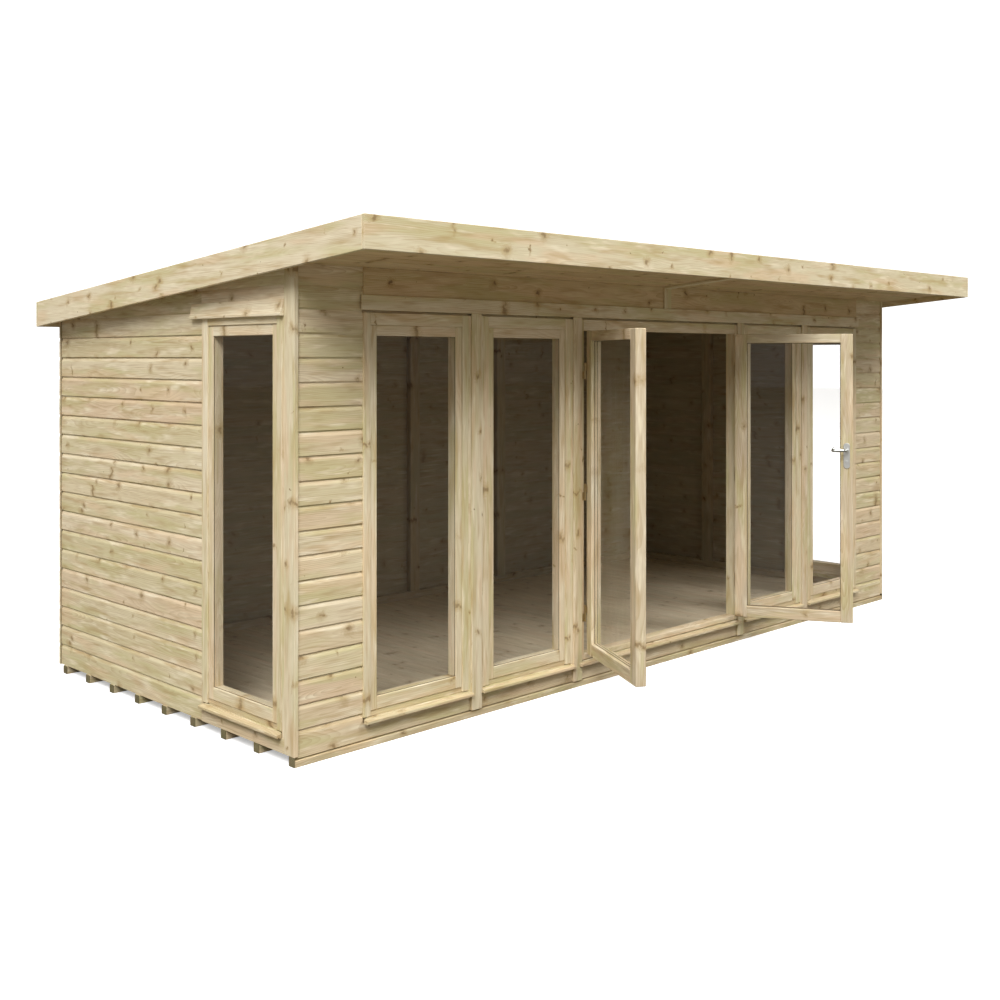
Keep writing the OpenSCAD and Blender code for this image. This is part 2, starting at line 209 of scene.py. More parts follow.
# %% Noise along the grain
# Each field is noise of a size along and across the plank in mm, and the range it is spread over
APART = 31.7
FIELDS = (
    ("crook", 110, 38, 0.2, 0.8, -0.017, 0.017),
    ("ragged", 18, 18, 0.2, 0.8, -0.006, 0.006),
    ("wander", 1100, 250, 0.2, 0.8, -0.016, 0.086),
    ("green", 640, 100, 0.45, 0.64, 0.0, 0.75),
    ("pink", 560, 95, 0.49, 0.66, 0.0, 0.65),
    ("pale", 190, 30, 0.50, 0.76, 0.0, 0.80),
    ("cloud", 250, 34, 0.48, 0.78, 0.0, 0.55),
    ("band", 1250, 70, 0.3, 0.7, 0.08, 0.50),
    ("fibre", 160, 5.3, 0.46, 0.78, 0.0, 0.40),
)


def noise_fields(tree, grain, seed):
    fields = {}
    for i, (name, along, across, low, high, least, most) in enumerate(FIELDS):
        per_metre = (1000.0 / along, 1000.0 / across, 1000.0 / across)
        # Each field and each finish reads its own slice of the noise
        ends = {0: grain, 1: per_metre, 2: (0.0, 0.0, APART * (seed + 0.37 * i))}
        place = add(tree, "ShaderNodeVectorMath", ends, operation="MULTIPLY_ADD")
        ends = {"Vector": place, "Scale": 1.0, "Detail": 2.0, "Roughness": 0.55}
        noise = add(tree, "ShaderNodeTexNoise", ends, noise_dimensions="3D")
        ends = {"Value": noise, "From Min": low, "From Max": high, "To Min": least, "To Max": most}
        fields[name] = add(tree, "ShaderNodeMapRange", ends, interpolation_type="SMOOTHSTEP")
    return fields


print("noise fields:", [field[0] for field in FIELDS])

# %% Knots
# Knots lie one to a cell of this length and width. For a spike, the way across counts only this much
KNOT_MM = (330.0, 105.0)
SPIKE = 0.26


def knot_shares(tree, grain, fields, knot_mm, most):
    # The way to the middle of the cell is taken back to metres, so that a knot is round
    long, wide = knot_mm[0] / 1000.0, knot_mm[1] / 1000.0
    ends = {0: grain, 1: (1.0 / long, 1.0 / wide, 0.0)}
    cells = add(tree, "ShaderNodeVectorMath", ends, operation="MULTIPLY")
    ends = {"Vector": cells, "Scale": 1.0, "Randomness": 0.9}
    knots = add(tree, "ShaderNodeTexVoronoi", ends, voronoi_dimensions="2D")
    ends = {0: cells, 1: knots.outputs["Position"]}
    off = add(tree, "ShaderNodeVectorMath", ends, operation="SUBTRACT")
    chance = add(tree, "ShaderNodeSeparateColor", {0: knots.outputs["Color"]})
    ends = {"Value": chance.outputs[1], "From Min": 0.84, "From Max": 0.86}
    spike = add(tree, "ShaderNodeMapRange", ends | {"To Min": wide, "To Max": wide * SPIKE})
    cell = add(tree, "ShaderNodeCombineXYZ", {"X": long, "Y": spike})
    metres = add(tree, "ShaderNodeVectorMath", {0: off, 1: cell}, operation="MULTIPLY")
    lean = add(tree, "ShaderNodeCombineXYZ", {"X": fields["crook"]})
    bent = add(tree, "ShaderNodeVectorMath", {0: metres, 1: lean}, operation="ADD")
    away = add(tree, "ShaderNodeVectorMath", {0: bent}, operation="LENGTH")
    rim = add(tree, "ShaderNodeMath", {0: away, 1: fields["ragged"]}, operation="ADD")
    ends = {"Value": chance.outputs[0], "From Min": 0.28, "From Max": 1.0, "To Min": 0.0004, "To Max": 0.0145}
    radius = add(tree, "ShaderNodeMapRange", ends, interpolation_type="SMOOTHSTEP")
    reach = add(tree, "ShaderNodeMath", {0: rim, 1: radius}, operation="DIVIDE")
    shares = []
    for far, near, share in ((1.3, 0.2, most), (3.6, 0.6, 0.5)):
        ends = {"Value": reach, "From Min": far, "From Max": near, "To Min": 0.0, "To Max": share}
        shares.append(add(tree, "ShaderNodeMapRange", ends, interpolation_type="SMOOTHSTEP"))
    return shares


print("knots: one to", KNOT_MM, "mm of board")

# %% Year rings
RING_MM = 8.0


def late_wood(tree, grain, tone, fields, halo):
    # Year rings around a pith that lies behind the plank, bent aside by the knots
    aside = add(tree, "ShaderNodeMath", {0: tone, 1: 0.16, 2: -0.08}, operation="MULTIPLY_ADD")
    pith = add(tree, "ShaderNodeCombineXYZ", {"Y": aside, "Z": fields["wander"]})
    spot = add(tree, "ShaderNodeVectorMath", {0: grain, 1: pith}, operation="ADD")
    flat = add(tree, "ShaderNodeVectorMath", {0: spot, 1: (0.0, 1.0, 1.0)}, operation="MULTIPLY")
    away = add(tree, "ShaderNodeVectorMath", {0: flat}, operation="LENGTH")
    pushed = add(tree, "ShaderNodeMath", {0: halo, 1: 0.04, 2: away}, operation="MULTIPLY_ADD")
    rings = add(tree, "ShaderNodeMath", {0: pushed, 1: RING_MM / 1000.0}, operation="DIVIDE")
    phase = add(tree, "ShaderNodeMath", {0: rings}, operation="FRACT")
    return add(tree, "ShaderNodeMath", {0: phase, 1: 2.2}, operation="POWER")


print("rings:", RING_MM, "mm apart")


# %% Pine material
def pine(name, tones, late, knot, knot_mm=KNOT_MM, knot_most=0.7, rough=0.62, seed=0.0, casts=CASTS):
    material, tree, shader = new_finish(name)
    grain = add(tree, "ShaderNodeAttribute", attribute_name="grain").outputs["Vector"]
    tone = add(tree, "ShaderNodeAttribute", attribute_name="tone").outputs["Fac"]
    fields = noise_fields(tree, grain, seed)
    core, halo = knot_shares(tree, grain, fields, knot_mm, knot_most)
    rings = late_wood(tree, grain, tone, fields, halo)
    streak = add(tree, "ShaderNodeMath", {0: rings, 1: fields["band"]}, operation="MULTIPLY")

    # Colour: the plank's own tone, casts in patches, then late wood, fibres and knots
    colour = add(tree, "ShaderNodeValToRGB", {0: tone})
    ramp = colour.color_ramp
    while len(ramp.elements) < len(tones):
        ramp.elements.new(0.5)
    for i, code in enumerate(tones):
        ramp.elements[i].position = i / (len(tones) - 1)
        ramp.elements[i].color = linear(code)
    layers = list(zip((fields["green"], fields["pink"], fields["pale"]), casts))
    layers += [(share, late) for share in (fields["cloud"], streak, fields["fibre"], halo)]
    layers.append((core, knot))
    for share, code in layers:
        colour = add(tree, "ShaderNodeMix", {0: share, 6: colour, 7: linear(code)}, data_type="RGBA")

    # Late wood and knots stand a little proud of the soft wood, and are a little smoother
    hard = add(tree, "ShaderNodeMath", {0: streak, 1: core}, operation="ADD")
    gloss = add(tree, "ShaderNodeMapRange", {"Value": hard, "To Min": rough + 0.06, "To Max": rough - 0.12})
    relief = add(tree, "ShaderNodeMath", {0: rings, 1: 0.35, 2: hard}, operation="MULTIPLY_ADD")
    height = add(tree, "ShaderNodeMath", {0: relief, 1: fields["fibre"]}, operation="ADD")
    bump = add(tree, "ShaderNodeBump", {"Height": height, "Strength": 0.25, "Distance": 0.0015})
    wire(tree, shader, {"Base Color": colour, "Roughness": gloss, "Normal": bump, "Specular IOR Level": 0.3})
    print(name, len(tree.nodes), "nodes")
    return material


# %% Pine finishes
pine_cladding = pine("treated_pine_boards", STRAW, "#AC8E5E", "#77592F", knot_most=0.6)
pine_trim = pine("treated_pine_trim", LIGHT, "#B6965F", "#7A5C36", (260.0, 84.0), 0.6, seed=3.0)
pine_frames = pine("treated_pine_frames", LIGHT, "#B99A64", "#7E6039", (430.0, 110.0), 0.6, seed=5.0)
# The door leaves are the frames' finish in darker tones: painted shade on the faces of the open doors
LEAVES = ["#DBD0B4", "#D0C5A7", "#D6C7AA", "#D4C3A7"]
pine_doors = pine("treated_pine_doors", LEAVES, "#AD8F5C", "#7A5C36", (430.0, 110.0), 0.6, seed=5.0)
# Darker tones, partly the wood and partly painted shade: on the sills, on the windows' foot rails under the
# sash, and on the bearers under the pod
DEEP = ["#D4C7A4", "#CABD98", "#D0BF9A", "#CDBA96"]
pine_sills = pine("treated_pine_sills_and_painted_shade", DEEP, "#A58552", "#735532", knot_most=0.6, seed=4.0)
FLOOR = ["#D2C4A8", "#C8BA9D", "#D8CAAF"]
LAID = ("#C5BB9F", "#D1BC9F", "#DBCFB8")
pine_floor = pine("pine_floor_boards", FLOOR, "#B09D80", "#735A3C", knot_most=0.5, seed=7.0, casts=LAID)
# Browner, darker tones than the walls, partly the wood and partly painted shade of the roof's underside
SOFFIT = ["#E0C99E", "#D1BB90", "#D7BC94", "#E1CEA6"]
UNDER = ("#C8BA86", "#DBBF97", "#E4D1A8")
pine_soffit = pine("treated_pine_soffit_and_painted_shade", SOFFIT, "#A5834F", "#654A2A", seed=9.0, casts=UNDER)
# Darker, greyer tones for the backs inside: partly sawn wood and partly painted shade of the dim inside
BACKS = ["#A89E84", "#9D947B", "#A4987F", "#A1947B"]
pine_backs = pine("sawn_pine_backs_and_painted_shade", BACKS, "#8A7453", "#66492A", knot_most=0.4, rough=0.8, casts=SHADED)
# Darker tones for studs and plates, partly sawn wood and partly painted shade, so the studs inside sit as dim
# as the backs
FRAMING = ["#B0A486", "#A69A7C", "#AE9E80", "#A9987B"]
pine_framing = pine("sawn_pine_framing_and_painted_shade", FRAMING, "#8E7650", "#66492A", rough=0.75, seed=11.0, casts=SHADED)
# End grain drinks the treatment and is darker; these tones are darker still, painted shade under the foot of
# the wall
ENDS = ["#837A57", "#736B4C", "#887E60"]
SOAKED_AND_SHADED = ("#6D6949", "#7C6D50", "#877E61")
end_grain = pine("pine_end_grain_and_painted_shade", ENDS, "#564A31", "#493821", rough=0.85, seed=13.0, casts=SOAKED_AND_SHADED)
print("pine materials:", [m.name for m in bpy.data.materials if "pine" in m.name])

# %% [markdown]
# ## Planks
# A plank is a box whose edges the plane has just broken. Its twenty-four corners are written out directly,
# three to each corner of the box, which is quicker than bevelling hundreds of cubes.
# A plank under the roof has a sloping top, and the boards along the roof's edge slope at their foot too.


# %% Shapes of timber
dice = random.Random(18)
FALL = math.tan(math.radians(4.8))
# Each plank is cut from somewhere in this many metres of grain
STRETCH = 40.0


def shape(verts, faces, along):
    low = [min(v[i] for v in verts) for i in range(3)]
    high = [max(v[i] for v in verts) for i in range(3)]
    across, deep = sorted((i for i in range(3) if i != along), key=lambda i: low[i] - high[i])
    middle = [(a + b) / 2 for a, b in zip(low, high)]
    grain = [(v[along] - low[along], v[across] - middle[across], v[deep] - middle[deep]) for v in verts]
    return {"verts": verts, "faces": faces, "grain": grain}


def plank(low, high, chamfer=0.002, slope="", along=None):
    size = [b - a for a, b in zip(low, high)]
    if along is None:
        along = size.index(max(size))
    signs = [(i, j, k) for i in (0, 1) for j in (0, 1) for k in (0, 1)]
    place = {}
    verts = []
    for s in signs:
        for axis in range(3):
            co = []
            for i in range(3):
                inset = 0.0 if i == axis else chamfer
                co.append(high[i] - inset if s[i] else low[i] + inset)
            if slope and s[2]:
                co[2] -= FALL * (co[1] - low[1])
            if slope == "both" and not s[2]:
                co[2] += FALL * (high[1] - co[1])
            place[s, axis] = len(verts)
            verts.append(co)
    faces = []
    for axis in range(3):
        b, c = [i for i in range(3) if i != axis]
        for end in (0, 1):
            ring = []
            for p, q in ((0, 0), (1, 0), (1, 1), (0, 1)):
                s = [0, 0, 0]
                s[axis], s[b], s[c] = end, p, q
                ring.append(place[tuple(s), axis])
            faces.append(ring)
        for p in (0, 1):
            for q in (0, 1):
                s = [[0, 0, 0], [0, 0, 0]]
                for end in (0, 1):
                    s[end][axis], s[end][b], s[end][c] = end, p, q
                a0, a1 = tuple(s[0]), tuple(s[1])
                faces.append([place[a0, b], place[a1, b], place[a1, c], place[a0, c]])
    for s in signs:
        faces.append([place[s, 0], place[s, 1], place[s, 2]])
    return shape(verts, faces, along)


print("a plank has", len(plank((0, 0, 0), (1, 0.1, 0.02))["faces"]), "faces")


# %% Mouldings
def moulding(section, start, end, along):
    other = 1 - along
    verts = []
    for where in (start, end):
        for across, up in section:
            co = [0.0, 0.0, up]
            co[along] = where
            co[other] = across
            verts.append(co)
    n = len(section)
    faces = [list(range(n)), list(range(n, 2 * n))]
    faces += [[i, (i + 1) % n, n + (i + 1) % n, n + i] for i in range(n)]
    return shape(verts, faces, along)


def one_plank(shapes, along):
    verts, faces = [], []
    for each in shapes:
        faces += [[len(verts) + i for i in face] for face in each["faces"]]
        verts += each["verts"]
    return shape(verts, faces, along)


print("a square moulding has", len(moulding([(0, 0), (1, 0), (1, 1), (0, 1)], 0, 1, 0)["faces"]), "faces")

# %% [markdown]
# ## From shapes to a piece
# The shapes of one piece are joined in one mesh, and each takes its own tone and its own stretch of grain.
# Faces are turned outwards last, because a mirrored window would otherwise be inside out.


# %% Timber pieces
def timber(name, shapes, material, place=None):
    verts, faces, grain, tone = [], [], [], []
    for each in shapes:
        first = len(verts)
        own = dice.random()
        shift = dice.random() * STRETCH
        verts += each["verts"]
        faces += [[first + i for i in face] for face in each["faces"]]
        grain += [(g[0] + shift, g[1], g[2]) for g in each["grain"]]
        tone += [own] * len(each["verts"])
    if place is not None:
        verts = [place @ Vector(v) for v in verts]
    mesh = bpy.data.meshes.new(name)
    mesh.from_pydata(verts, [], faces)
    bm = bmesh.new()
    bm.from_mesh(mesh)
    bmesh.ops.recalc_face_normals(bm, faces=bm.faces)
    bm.to_mesh(mesh)
    bm.free()
    flat = [c for g in grain for c in g]
    mesh.attributes.new("grain", "FLOAT_VECTOR", "POINT").data.foreach_set("vector", flat)
    mesh.attributes.new("tone", "FLOAT", "POINT").data.foreach_set("value", tone)
    mesh.materials.append(material)
    return put(name, mesh)


def fit(piece, body, slot, *nodes):
    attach(piece, body)
    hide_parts(*nodes)
    print(piece.name, len(piece.data.polygons), "faces for", ", ".join(nodes))


def solids(node):
    bm = bmesh.new()
    bm.from_mesh(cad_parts[node].data)
    bmesh.ops.remove_doubles(bm, verts=bm.verts, dist=0.00001)
    left = set(bm.verts)
    boxes = []
    while left:
        group = {left.pop()}
        edge = list(group)
        while edge:
            near = {e.other_vert(v) for v in edge for e in v.link_edges} - group
            group |= near
            edge = list(near)
        left -= group
        low = [min(v.co[i] for v in group) for i in range(3)]
        high = [max(v.co[i] for v in group) for i in range(3)]
        boxes.append((low, high))
    bm.free()
    return sorted(boxes)


print("studs:", len(solids("wall_studs")))

# %% [markdown]
# ## Rows of boards by Geometry Nodes
# Wall boards, floor boards and soffit boards are the same thing: one board, repeated at a fixed step.
# The object holds one board, and the tree sets a copy on every point of a line. Each copy takes a random tone
# and a random stretch of grain, both from a fixed seed. The copies are then made real, because a model that
# leaves Blender keeps no instances.


# %% The tree for a row of boards
SEED_STEP = 57.0


def row_tree():
    tree = bpy.data.node_groups.new("row_of_boards", "GeometryNodeTree")
    kinds = {"Board": "Geometry", "Count": "Int", "Step": "Vector", "Seed": "Int", "Timber": "Material"}
    for name, kind in kinds.items():
        tree.interface.new_socket(name, in_out="INPUT", socket_type="NodeSocket" + kind)
    tree.interface.new_socket("Row", in_out="OUTPUT", socket_type="NodeSocketGeometry")
    given = add(tree, "NodeGroupInput").outputs
    ends = {"Count": given["Count"], "Offset": given["Step"]}
    line = add(tree, "GeometryNodeMeshLine", ends, mode="OFFSET")
    ends = {"Points": line, "Instance": given["Board"]}
    copies = add(tree, "GeometryNodeInstanceOnPoints", ends)
    tone = add(tree, "FunctionNodeRandomValue", {2: 0.0, 3: 1.0, "Seed": given["Seed"]}, data_type="FLOAT")
    other = add(tree, "ShaderNodeMath", {0: given["Seed"], 1: SEED_STEP}, operation="ADD")
    along = add(tree, "FunctionNodeRandomValue", {2: 0.0, 3: STRETCH, "Seed": other}, data_type="FLOAT")
    ends = {"Geometry": copies, "Name": "own_tone", "Value": tone}
    toned = add(tree, "GeometryNodeStoreNamedAttribute", ends, data_type="FLOAT", domain="INSTANCE")
    ends = {"Geometry": toned, "Name": "shift", "Value": along}
    shifted = add(tree, "GeometryNodeStoreNamedAttribute", ends, data_type="FLOAT", domain="INSTANCE")
    real = add(tree, "GeometryNodeRealizeInstances", {0: shifted})
    grain = add(tree, "GeometryNodeInputNamedAttribute", {"Name": "grain"}, data_type="FLOAT_VECTOR")
    shift = add(tree, "GeometryNodeInputNamedAttribute", {"Name": "shift"}, data_type="FLOAT")
    push = add(tree, "ShaderNodeCombineXYZ", {"X": shift})
    moved = add(tree, "ShaderNodeVectorMath", {0: grain, 1: push}, operation="ADD")
    ends = {"Geometry": real, "Name": "grain", "Value": moved}
    grained = add(tree, "GeometryNodeStoreNamedAttribute", ends, data_type="FLOAT_VECTOR", domain="POINT")
    own = add(tree, "GeometryNodeInputNamedAttribute", {"Name": "own_tone"}, data_type="FLOAT")
    ends = {"Geometry": grained, "Name": "tone", "Value": own}
    kept = add(tree, "GeometryNodeStoreNamedAttribute", ends, data_type="FLOAT", domain="POINT")
    painted = add(tree, "GeometryNodeSetMaterial", {"Geometry": kept, "Material": given["Timber"]})
    add(tree, "NodeGroupOutput", {0: painted})
    return tree


ROW = row_tree()
print("row tree:", len(ROW.nodes), "nodes")


# %% A row of boards
def row_of_boards(name, board, count, step, seed, material):
    piece = timber(name, [board], material)
    modifier = piece.modifiers.new("row", "NODES")
    modifier.node_group = ROW
    given = {"Count": count, "Step": step, "Seed": seed, "Timber": material}
    for item in ROW.interface.items_tree:
        if item.item_type == "SOCKET" and item.name in given:
            modifier[item.identifier] = given[item.name]
    shown = piece.evaluated_get(bpy.context.evaluated_depsgraph_get())
    mesh = bpy.data.meshes.new_from_object(shown)
    piece.modifiers.clear()
    piece.data = mesh
    print(name, count, "boards")
    return piece


def join(name, pieces):
    with bpy.context.temp_override(active_object=pieces[0], selected_editable_objects=pieces):
        bpy.ops.object.join()
    pieces[0].name = name
    pieces[0].data.name = name
    return pieces[0]


def trim(piece, point, normal):
    bm = bmesh.new()
    bm.from_mesh(piece.data)
    everything = bm.verts[:] + bm.edges[:] + bm.faces[:]
    bmesh.ops.bisect_plane(bm, geom=everything, plane_co=point, plane_no=normal, clear_outer=True)
    rim = [e for e in bm.edges if e.is_boundary]
    bmesh.ops.holes_fill(bm, edges=rim, sides=0)
    bm.to_mesh(piece.data)
    bm.free()


# %% [markdown]
# ## Wall boards
# The walls are shiplap: each board covers 112 mm, its face is scooped in at the top, and the square foot of
# the board above hangs over the scoop. That gives the lit curve with a dark line over it at every joint.
# One board with that section is made where the lowest course lies, and a row stacks it up the wall.
# The courses start at the same height all round, so the joints meet at the corners. A cut along the soffit
# then takes off what stands above it. The backs of the boards are sawn, not planed, and darker, partly as
# painted shade of the dim inside.

# %% Section of a wall board
COVER = 0.112
LAP = 0.008
BOARD_T = 0.015
SCOOP = [(0.0070, 0.0), (0.0070, 0.0078), (0.0010, 0.0078), (0.0, 0.0090)]
SCOOP += [(0.0, 0.0935), (0.0006, 0.0970), (0.0019, 0.1012), (0.0037, 0.1056)]
SCOOP += [(0.0054, 0.1096), (0.0067, 0.1126), (BOARD_T, 0.1126), (BOARD_T, 0.0)]
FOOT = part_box("left_wall")[0].z
COURSES = 19
SOFFIT_AT = Vector((0.0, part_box("front_beam")[0].y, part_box("front_beam")[1].z))
ROOF_UP = Vector((0.0, FALL, 1.0)).normalized()


def wall_board(face, inward, start, end, along, foot, profile=SCOOP):
    section = [(face + inward * d, foot + v) for d, v in profile]
    return moulding(section, start, end, along)


def lowest(lap):
    return [(0.001, -lap), (0.0, 0.001 - lap)] + SCOOP[4:-1] + [(BOARD_T, -lap)]


def boarded(name, face, inward, spans, along, seed, started=False):
    rows = []
    for i, (start, end) in enumerate(spans):
        if not started:
            first = wall_board(face, inward, start, end, along, FOOT, lowest(0.0))
            rows.append(timber(f"{name}_first_{i}", [first], pine_cladding))
        board = wall_board(face, inward, start, end, along, FOOT + COVER)
        rows.append(row_of_boards(f"{name}_{i}", board, COURSES, (0, 0, COVER), seed + i, pine_cladding))
    piece = join(name, rows)
    trim(piece, SOFFIT_AT, ROOF_UP)
    piece.data.materials.append(pine_backs)
    back = face + inward * BOARD_T
    for polygon in piece.data.polygons:
        if abs(polygon.center[1 - along] - back) < 0.0005:
            polygon.material_index = 1
    return piece


print("corners of a wall board:", len(SCOOP))

# %% Boarded walls
for side, inward, seed in (("left", 1, 101), ("right", -1, 202)):
    low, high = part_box(f"{side}_wall")
    outside = low.x if inward > 0 else high.x
    boards = boarded(f"{side}_wall_boards", outside, inward, [(low.y, high.y)], 1, seed)
    fit(boards, "pod", "pine_boards", f"{side}_wall")
low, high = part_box("back_wall")
BUTT = 0.9
spans = [(low.x, -BUTT), (-BUTT, BUTT), (BUTT, high.x)]
back_boards = boarded("back_wall_boards", high.y, -1, spans, 0, 303)
fit(back_boards, "pod", "pine_boards", "back_wall")
corners = solids("front_walls")
spans = [(a[0], b[0]) for a, b in corners]
FRONT_BOARDS = corners[0][0][1]
front_boards = boarded("front_corner_boards", FRONT_BOARDS, 1, spans, 0, 404, True)
fit(front_boards, "pod", "pine_boards", "front_walls")

# %% [markdown]
# ## Boards over the openings
# Over the end windows the wall's courses go on to the corner board, flush with the trim. Over the front
# windows one wide board goes up to the soffit, in the soffit's browner finish: painted shade of the overhang.

# %% Head boards
HEAD_LINE = FOOT + 18 * COVER
BACKING_IN = 0.012
rows = []
for seed, (a, b) in enumerate(solids("head_boards")):
    if b[0] - a[0] > 1.0:
        # The front head board takes the soffit finish: painted shade under the overhang
        front_head = timber("front_head_board", [plank(a, b, slope="top")], pine_soffit)
        continue
    outside, inward = (a[0], 1) if a[0] < 0 else (b[0], -1)
    board = wall_board(outside, inward, a[1], b[1], 1, HEAD_LINE)
    row = row_of_boards("end_head", board, 2, (0, 0, COVER), 510 + seed, pine_cladding)
    trim(row, SOFFIT_AT, ROOF_UP)
    trim(row, Vector((0, 0, a[2])), Vector((0, 0, -1)))
    hidden = a if inward > 0 else b
    hidden[0] += inward * BACKING_IN
    rows += [row, timber("end_backing", [plank(a, b, slope="top")], pine_cladding)]
head_boards = join("head_boards_dressed", [front_head] + rows)
fit(head_boards, "pod", "pine_boards", "head_boards")

# %% [markdown]
# ## Plain timbers
# Bearers, plates, studs, posts, trim and fascia are straight planks. The solids of each node give the boxes,
# and the longest side of a box is the way its grain runs. The frames and posts of the front stop a little
# short of the header, with a packing strip set back behind the gap, and the cover strips close it where they
# pass. The lowest board of the front runs from corner to corner, and is cut down where it passes under the
# sills. The bearers take darker tones, painted shade under the pod. Their ends are darker still, partly
# because end grain drinks the treatment and partly as painted shade under the foot of the wall. The front
# bearer has a rebate, and the feet of the boards hang in it with a line of shade under them.


# %% Plain timbers
# End caps of bearers, the gap under the header, the packing behind it, the rebate, and play by a strip
CAP, DRIP = 0.005, 0.011
PACK_IN, PACK_OUT = 0.020, 0.060
REBATE, REBATE_DEEP = 0.023, 0.015
BY_STRIP, NEAR = 0.002, 0.030
FRONT_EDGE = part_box("floor_bearers")[0].y


def plain(name, node, material, slot, slope="", chamfer=0.002, rise=0.0):
    shapes = [plank(a, [b[0], b[1], b[2] + rise], chamfer, slope) for a, b in solids(node)]
    fit(timber(name, shapes, material), "pod", slot, node)


runs, caps = [], []
for a, b in solids("floor_bearers"):
    start, end = a[0] + CAP, b[0] - CAP
    rebate = REBATE if a[1] < FRONT_EDGE + 0.001 else 0.0
    if rebate:
        runs.append(plank([start, a[1], a[2]], [end, a[1] + rebate, b[2] - REBATE_DEEP]))
    runs.append(plank([start, a[1] + rebate, a[2]], [end, b[1], b[2]]))
    caps.append(plank(a, [a[0] + CAP, b[1], b[2]], along=0))
    caps.append(plank([b[0] - CAP, a[1], a[2]], b, along=0))
# Runs in the darker sill finish, ends in the end grain finish: both partly painted shade under the pod
bearers = [timber("bearer_runs", runs, pine_sills), timber("bearer_ends", caps, end_grain)]
fit(join("bearers", bearers), "pod", "pine_boards", "floor_bearers")
plain("sole_timbers", "sole_plates", pine_framing, "pine_boards")
plain("front_lintel_beam", "front_beam", pine_framing, "pine_boards", "top")

# %% Front timbers
boxes = solids("kick_boards")
kicks = [plank(*boxes[0]), plank(*boxes[2])]
(start, _, foot), (end, _, head) = boxes[1]
KICK = [(0.001, -LAP), (0.0, 0.001 - LAP), (0.0, head - foot), (BOARD_T, head - foot), (BOARD_T, -LAP)]
runs = [wall_board(FRONT_BOARDS, 1, start, end, 0, FOOT, KICK)]
runs += [wall_board(FRONT_BOARDS, 1, a[0], b[0], 0, FOOT, lowest(LAP)) for a, b in corners]
kicks.append(one_plank(runs, 0))
fit(timber("kick_planks", kicks, pine_cladding), "pod", "pine_boards", "kick_boards")
low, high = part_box("front_header")
packing = plank([low.x, high.y + PACK_IN, low.z - DRIP], [high.x, high.y + PACK_OUT, low.z])
shapes = [plank(low, high), packing]
fit(timber("header_board", shapes, pine_trim), "pod", "pine_trim", "front_header")
plain("corner_trim", "corner_boards", pine_trim, "pine_trim", "top")
plain("posts", "front_posts", pine_frames, "pine_trim", rise=-DRIP)
shapes = []
for a, b in solids("cover_strips"):
    strip = plank([a[0], a[1], a[2] - LAP], b)
    low, high = [a[0] + BY_STRIP, b[1], a[2] - LAP], [b[0] - BY_STRIP, FRONT_BOARDS, head]
    block = plank(low, high, along=2)
    shapes.append(one_plank([strip, block], 2))
fit(timber("strips", shapes, pine_trim), "pod", "pine_trim", "cover_strips")
plain("jambs", "door_jambs", pine_frames, "pine_frames", rise=-DRIP)
plain("head_of_doorway", "door_head", pine_frames, "pine_frames", rise=-DRIP)
plain("threshold", "door_threshold", pine_frames, "pine_frames", chamfer=0.004)

# %% Fascia, studs and battens
plain("fascia_front", "front_fascia", pine_trim, "pine_trim")
plain("fascia_back", "back_fascia", pine_trim, "pine_trim")
plain("fascia_sides", "side_fascias", pine_trim, "pine_trim", "both")
shapes = [plank(a, b, slope="top" if b[2] > HEAD_LINE + NEAR else "") for a, b in solids("wall_studs")]
fit(timber("studs", shapes, pine_framing), "pod", "pine_boards", "wall_studs")
shapes = [plank(a, b, slope="both" if b[1] - a[1] > 0.1 else "top") for a, b in solids("roof_joint_battens")]
fit(timber("battens", shapes, pine_trim), "pod", "pine_soffit", "roof_joint_battens")

# %% [markdown]
# ## Sills and lintels
# A sill sheds rain: its nose leans out, its front edge is rounded, and a groove under it lets drops fall
# clear. The lintel over an end window is thin at its top and has a lip along its foot. Both are one section
# drawn out along the wall.

# %% Sills
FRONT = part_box("front_window_1")[0].y
LEFT_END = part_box("left_window")[0].x
SILL_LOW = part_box("sills")[0].z
NOSE = [(0.0, 0.0), (0.014, 0.0), (0.014, 0.004), (0.020, 0.004), (0.020, 0.0), (0.0255, 0.0)]
NOSE += [(0.028, 0.0025), (0.028, 0.0115), (0.0272, 0.0143), (0.0250, 0.0155), (0.0, 0.0205)]
SHY, DIP, SILL_DEEP = 0.012, 0.004, 0.066
strips = solids("cover_strips")
sill_shapes = []
for a, b in solids("sills"):
    if b[0] - a[0] > b[1] - a[1]:
        start = max([a[0]] + [t[0] + BY_STRIP for s, t in strips if s[0] < a[0] + NEAR < t[0]])
        end = min([b[0]] + [s[0] - BY_STRIP for s, t in strips if s[0] < b[0] - NEAR < t[0]])
        sill_shapes.append(moulding([(FRONT - d, SILL_LOW + v) for d, v in NOSE], start, end, 0))
        sill_shapes.append(plank([start + SHY, FRONT, a[2]], [end - SHY, b[1], b[2] - DIP]))
    else:
        face, out = (LEFT_END, -1) if a[0] < 0 else (-LEFT_END, 1)
        sill_shapes.append(moulding([(face + out * d, SILL_LOW + v) for d, v in NOSE], a[1], b[1], 1))
        near, far = sorted((face, face - out * SILL_DEEP))
        sill_shapes.append(plank([near, a[1] + SHY, a[2]], [far, b[1] - SHY, b[2] - DIP]))
fit(timber("window_sills", sill_shapes, pine_sills), "pod", "pine_trim", "sills")

# %% Lintels
HOOD = [(0.0, 0.0), (0.018, 0.0), (0.020, 0.002), (0.020, 0.012)]
HOOD += [(0.017, 0.016), (0.004, 0.077), (0.0, 0.077)]
lintel_shapes = []
for a, b in solids("end_lintels"):
    face, out = (b[0], -1) if a[0] < 0 else (a[0], 1)
    lintel_shapes.append(moulding([(face + out * d, a[2] + v) for d, v in HOOD], a[1], b[1], 1))
fit(timber("lintels", lintel_shapes, pine_trim), "pod", "pine_trim", "end_lintels")

